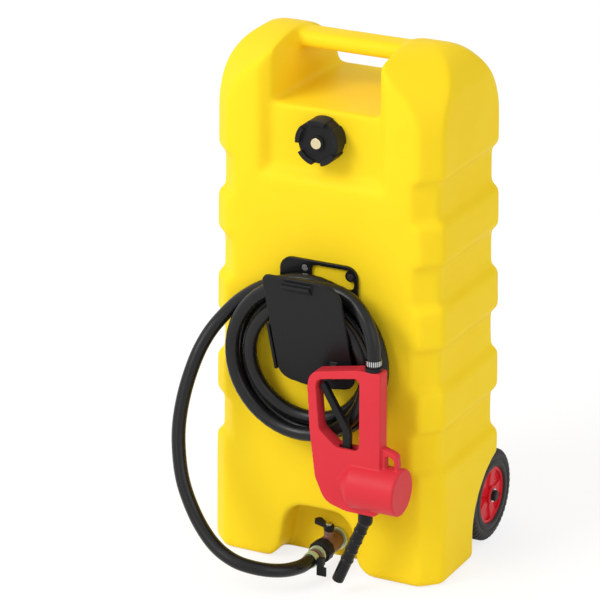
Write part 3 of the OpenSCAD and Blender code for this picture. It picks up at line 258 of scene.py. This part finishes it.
WHITE = material("white_nylon", (0.84, 0.84, 0.80), (0.78, 0.78, 0.73), 0.45,
                 grain=900.0, height=0.03)


def slotted_band(name, axis_x, axis_y, slots, slot_share):
    """Bright steel with dark slots round an upright axis, as on a worm-drive band."""
    mat = material(name, (0.60, 0.60, 0.58), (0.48, 0.49, 0.48), 0.26, metal=1.0, grain=1500.0, height=0.02)
    tree = mat.node_tree
    shader = tree.nodes["Principled BSDF"]
    plain = shader.inputs["Base Color"].links[0].from_socket
    coords = tree.nodes.new("ShaderNodeTexCoord")
    centre = tree.nodes.new("ShaderNodeMapping")
    centre.inputs["Location"].default_value = (-axis_x, -axis_y, 0)
    angle = tree.nodes.new("ShaderNodeTexGradient")
    angle.gradient_type = "RADIAL"
    tree.links.new(coords.outputs["Object"], centre.inputs["Vector"])
    tree.links.new(centre.outputs["Vector"], angle.inputs["Vector"])
    value = angle.outputs["Fac"]
    for operation, number in (("MULTIPLY", slots), ("FRACT", 0.0), ("LESS_THAN", slot_share)):
        node = tree.nodes.new("ShaderNodeMath")
        node.operation = operation
        node.inputs[1].default_value = number
        tree.links.new(value, node.inputs[0])
        value = node.outputs["Value"]
    mix = tree.nodes.new("ShaderNodeMix")
    mix.data_type = "RGBA"
    mix.inputs["B"].default_value = (0.012, 0.012, 0.012, 1)
    tree.links.new(value, mix.inputs["Factor"])
    tree.links.new(plain, mix.inputs["A"])
    tree.links.new(mix.outputs["Result"], shader.inputs["Base Color"])
    return mat


BAND = slotted_band("slotted_steel_band", INLET[0] * MM, INLET[1] * MM, slots=24.0, slot_share=0.42)

FINISH = {
    TANK: ["tank"],
    CAP: ["filler_cap", "axle_caps", "union_nut", "valve_handle", "clamp_key", "axle_bracket_left",
          "axle_bracket_right", "nozzle_inlet", "pump_piston"],
    PANEL: ["hanger_panel", "trigger"],
    GLOSS: ["hanger_frame", "spout"],
    SEAL: ["cap_gasket", "outlet_gasket", "union_seal", "piston_seal"],
    BRASS: ["vent_pin", "vent_cage"],
    STEEL: ["vent_spring", "axle", "bracket_screws", "wheel_washers", "hanger_screws", "handle_screw",
            "nozzle_screws", "trigger_pin", "pump_spring"],
    BAND: ["hose_ferrule"],
    BRONZE: ["valve_body", "valve_stem", "hose_barb"],
    CHROMATE: ["outlet_fitting", "outlet_lock_nut", "valve_ball", "hose_clamp"],
    WHITE: ["hub_bush_left", "hub_bush_right", "valve_seats"],
    TYRE: ["tyre_left", "tyre_right"],
    HUB: ["hub_left", "hub_right"],
    RUBBER: ["hose_free", "hose_coil"],
    NOZZLE: ["nozzle_front", "nozzle_rear", "pump_barrel", "pump_end_cap"],
}


def dress(obj, mat):
    obj.data.materials.clear()
    obj.data.materials.append(mat)


for mat, names in FINISH.items():
    for name in names:
        dress(nodes[name], mat)
dress(hose, RUBBER)


def two_tone(obj, mat, chosen):
    """Gives a second material to the faces that a test on their middle picks."""
    obj.data.materials.append(mat)
    for face in obj.data.polygons:
        face.material_index = int(chosen(face.center))


# Radii from the outlet's axis, in millimetres
TAIL_RING_R = 14.0
TAIL_WALL_R = 9.8
CLAMP_BAND_R = 13.4
RING_MARGIN = 0.1


def off_axis(at):
    return math.hypot(at.x - OUTLET[0] * MM, at.z - OUTLET[2] * MM) / MM


def dress_outlet():
    """Plates the ring on the hose tail, and blackens the lug that stands out from the clamp's band."""
    barb = nodes["hose_barb"]
    ring = [v.co.y for v in barb.data.vertices if off_axis(v.co) > TAIL_RING_R]
    low = min(ring) - RING_MARGIN * MM
    high = max(ring) + RING_MARGIN * MM
    two_tone(barb, CHROMATE, lambda at: low < at.y < high and off_axis(at) > TAIL_WALL_R)
    two_tone(nodes["hose_clamp"], CAP, lambda at: off_axis(at) > CLAMP_BAND_R)


dress_outlet()


# Moulded edges
def thin_out(obj, share):
    thin = obj.modifiers.new("thin", "DECIMATE")
    thin.ratio = share


def round_off(obj, voxel, rounds):
    """Fuses a solid's surface on a fine grid, in millimetres, and eases its edges, as a mould does."""
    remesh = obj.modifiers.new("fuse", "REMESH")
    remesh.mode = "VOXEL"
    remesh.voxel_size = voxel * MM
    remesh.use_smooth_shade = True
    ease_edges = obj.modifiers.new("ease", "SMOOTH")
    ease_edges.factor = 0.5
    ease_edges.iterations = rounds


def apply_modifiers(obj):
    graph = bpy.context.evaluated_depsgraph_get()
    made = bpy.data.meshes.new_from_object(obj.evaluated_get(graph))
    obj.modifiers.clear()
    obj.data = made


def keep_outer_shell(obj):
    """Drops every loose shell but the one with the most points."""
    bm = bmesh.new()
    bm.from_mesh(obj.data)
    left = set(bm.verts)
    shells = []
    while left:
        shell = {left.pop()}
        edge = list(shell)
        while edge:
            v = edge.pop()
            for e in v.link_edges:
                w = e.other_vert(v)
                if w in left:
                    left.remove(w)
                    shell.add(w)
                    edge.append(w)
        shells.append(shell)
    shells.sort(key=len)
    bmesh.ops.delete(bm, geom=[v for shell in shells[:-1] for v in shell], context="VERTS")
    bm.to_mesh(obj.data)
    bm.free()


def add_rod(bm, start, end, radius):
    along = Vector(end) - Vector(start)
    turn = along.to_track_quat("Z", "Y").to_matrix().to_4x4()
    middle = (Vector(start) + Vector(end)) / 2
    bmesh.ops.create_cone(bm, cap_ends=True, segments=48, radius1=radius, radius2=radius,
                          depth=along.length, matrix=Matrix.Translation(middle) @ turn)


def make_shell(name, solids, plugs, voxel, rounds, share, mat):
    """One moulded skin in place of its solids. The plugs shut their bores, so that the inside drops off."""
    bm = bmesh.new()
    for solid in solids:
        bm.from_mesh(nodes[solid].data)
    for start, end, radius in plugs:
        add_rod(bm, start, end, radius)
    shell = mesh_object(name, bm)
    round_off(shell, voxel, rounds)
    apply_modifiers(shell)
    keep_outer_shell(shell)
    thin_out(shell, share)
    apply_modifiers(shell)
    dress(shell, mat)
    shell.data.shade_smooth()
    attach(shell, "caddy")
    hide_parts(*solids)


FILLER_PLUG = ((0, -0.120, 0.711), (0, -0.105, 0.711), 0.024)
OUTLET_PLUG = ((0.004, -0.076, 0.034), (0.004, -0.071, 0.034), 0.0135)
make_shell("tank_shell", ["tank"], [FILLER_PLUG, OUTLET_PLUG],
           voxel=3.0, rounds=30, share=0.35, mat=TANK)
make_shell("nozzle_shell", ["nozzle_front", "nozzle_rear", "pump_barrel", "pump_end_cap"], [],
           voxel=1.1, rounds=9, share=0.4, mat=NOZZLE)

# Each node with its grid, in millimetres, and its rounds of easing
ROUNDED = {
    "filler_cap": (0.6, 5), "vent_pin": (0.4, 5), "hanger_frame": (0.9, 4), "hanger_panel": (0.9, 4),
    "trigger": (0.8, 4), "spout": (0.7, 2), "valve_handle": (0.6, 4), "union_nut": (0.6, 3),
    "clamp_key": (0.5, 3), "hub_left": (0.9, 3), "hub_right": (0.9, 3), "axle_caps": (0.7, 3),
    "axle_bracket_left": (0.9, 3), "axle_bracket_right": (0.9, 3), "valve_body": (0.7, 2),
    "outlet_fitting": (0.7, 2),
}
ROUNDED_SHARE = 0.5

for name, (voxel, rounds) in ROUNDED.items():
    round_off(nodes[name], voxel, rounds)
    thin_out(nodes[name], ROUNDED_SHARE)


def squeeze(name):
    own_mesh(nodes[name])


squeeze("vent_spring")
squeeze("pump_spring")

# Tyres with tread blocks, in millimetres
AXLE_Y = 98.0
AXLE_Z = 75.0
TYRE_R = 75.0
TYRE_HALF = 19.0
# Distance in from the side wall, and radius, from the bead up to the tread
FLANK = [
    (0.0, 47.2), (0.0, 52.0), (0.2, 57.0), (1.0, 57.6), (1.0, 59.4), (0.2, 60.0),
    (0.0, 64.0), (0.6, 68.0), (1.6, 71.0), (3.0, 73.0), (5.0, 74.4), (7.5, TYRE_R),
]
# Distance from the middle, and radius, over the tread and its middle groove
CROWN = [(-6.5, TYRE_R), (-2.6, TYRE_R), (-2.0, 73.0), (2.0, 73.0), (2.6, TYRE_R), (6.5, TYRE_R)]
BLOCKS = 44
BLOCK_STEPS = 8
BLOCK_SLANT = 0.035
BLOCK_HALF = 0.30
BLOCK_EDGE = 0.10
CUT_DEPTH = 3.6
CUT_FOOT_R = 66.0
CUT_RISE = 6.0
RIB_HALF = 2.0
RIB_EDGE = 1.0


def tread_cut(turn, x, r):
    """Depth of the slanted cuts between the blocks. They fade out down the flank and towards the middle."""
    phase = (turn + BLOCK_SLANT * abs(x)) % 1.0
    gap = ease((abs(phase - 0.5) - BLOCK_HALF) / BLOCK_EDGE)
    return CUT_DEPTH * gap * ease((r - CUT_FOOT_R) / CUT_RISE) * ease((abs(x) - RIB_HALF) / RIB_EDGE)


def make_tyre(node, body):
    across = [v.co.x / MM for v in nodes[node].data.vertices]
    middle = (min(across) + max(across)) / 2
    flank = [(inset - TYRE_HALF, r) for inset, r in FLANK]
    profile = flank + CROWN + [(-x, r) for x, r in reversed(flank)]
    count = BLOCKS * BLOCK_STEPS
    bm = bmesh.new()
    rings = []
    for x, r in profile:
        ring = []
        for i in range(count):
            depth = tread_cut(i / BLOCK_STEPS, x, r)
            a = 2 * math.pi * i / count
            at = (middle + x, AXLE_Y + (r - depth) * math.cos(a), AXLE_Z + (r - depth) * math.sin(a))
            ring.append(bm.verts.new(Vector(at) * MM))
        rings.append(ring)
    for a, b in zip(rings, rings[1:] + rings[:1]):
        for i in range(count):
            k = (i + 1) % count
            bm.faces.new((a[i], a[k], b[k], b[i]))
    bmesh.ops.recalc_face_normals(bm, faces=bm.faces)
    tyre = mesh_object(node + "_tread", bm)
    dress(tyre, TYRE)
    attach(tyre, body)
    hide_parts(node)


make_tyre("tyre_left", "left_wheel")
make_tyre("tyre_right", "right_wheel")

# Floor and light
FLOOR_SIZE = 16.0
FLOOR_GLOW = 1.08
FLOOR_GLOW_SHARE = 0.72
ROOM_GLOW = 0.67
BACKGROUND_GLOW = 1.0


def background_rays(tree):
    """Is 1 for rays that meet the white background: straight from the camera, mirrored or through glass."""
    rays = tree.nodes.new("ShaderNodeLightPath")
    found = rays.outputs["Is Camera Ray"]
    for kind in ("Is Glossy Ray", "Is Transmission Ray"):
        either = tree.nodes.new("ShaderNodeMath")
        either.operation = "MAXIMUM"
        tree.links.new(found, either.inputs[0])
        tree.links.new(rays.outputs[kind], either.inputs[1])
        found = either.outputs["Value"]
    return found


def make_floor():
    bm = bmesh.new()
    bmesh.ops.create_grid(bm, x_segments=8, y_segments=8, size=FLOOR_SIZE)
    floor = mesh_object("floor", bm)
    mat = bpy.data.materials.new("floor")
    mat.use_nodes = True
    tree = mat.node_tree
    tree.nodes.clear()
    diffuse = tree.nodes.new("ShaderNodeBsdfDiffuse")
    diffuse.inputs["Color"].default_value = (0.9, 0.9, 0.9, 1)
    glow = tree.nodes.new("ShaderNodeEmission")
    glow.inputs["Color"].default_value = (1, 1, 1, 1)
    glow.inputs["Strength"].default_value = FLOOR_GLOW
    share = tree.nodes.new("ShaderNodeMath")
    share.operation = "MULTIPLY"
    share.inputs[1].default_value = FLOOR_GLOW_SHARE
    mix = tree.nodes.new("ShaderNodeMixShader")
    out = tree.nodes.new("ShaderNodeOutputMaterial")
    tree.links.new(background_rays(tree), share.inputs[0])
    tree.links.new(share.outputs["Value"], mix.inputs["Fac"])
    tree.links.new(diffuse.outputs["BSDF"], mix.inputs[1])
    tree.links.new(glow.outputs["Emission"], mix.inputs[2])
    tree.links.new(mix.outputs["Shader"], out.inputs["Surface"])
    dress(floor, mat)


def make_world():
    world = bpy.data.worlds.new("world")
    scene.world = world
    world.use_nodes = True
    tree = world.node_tree
    tree.nodes.clear()

    def glow(strength):
        node = tree.nodes.new("ShaderNodeBackground")
        node.inputs["Color"].default_value = (1, 1, 1, 1)
        node.inputs["Strength"].default_value = strength
        return node.outputs["Background"]

    mix = tree.nodes.new("ShaderNodeMixShader")
    out = tree.nodes.new("ShaderNodeOutputWorld")
    tree.links.new(background_rays(tree), mix.inputs["Fac"])
    tree.links.new(glow(ROOM_GLOW), mix.inputs[1])
    tree.links.new(glow(BACKGROUND_GLOW), mix.inputs[2])
    tree.links.new(mix.outputs["Shader"], out.inputs["Surface"])


def make_sun(name, energy, angle, towards):
    sun = bpy.data.lights.new(name, "SUN")
    sun.energy = energy
    sun.angle = math.radians(angle)
    lamp = link(bpy.data.objects.new(name, sun))
    lamp.rotation_euler = Vector(towards).to_track_quat("Z", "Y").to_euler()


def make_softbox(name, energy, size, place, target):
    panel = bpy.data.lights.new(name, "AREA")
    panel.shape = "RECTANGLE"
    panel.size, panel.size_y = size
    panel.energy = energy
    lamp = link(bpy.data.objects.new(name, panel))
    lamp.location = place
    lamp.rotation_euler = (Vector(place) - Vector(target)).to_track_quat("Z", "Y").to_euler()


def make_lights():
    make_sun("key", energy=0.95, angle=25, towards=(-0.42, -0.71, 0.57))
    make_sun("fill", energy=0.42, angle=40, towards=(0.85, -0.30, 0.42))
    make_softbox("softbox", energy=18.0, size=(1.6, 1.2), place=(-1.1, -1.7, 2.3), target=(0, -0.1, 0.4))
    make_softbox("strip", energy=2.5, size=(0.3, 1.6), place=(-0.5, -2.1, 0.9), target=(0, -0.1, 0.35))


make_floor()
make_world()
make_lights()
scene.view_settings.view_transform = "Standard"

bpy.context.view_layer.update()
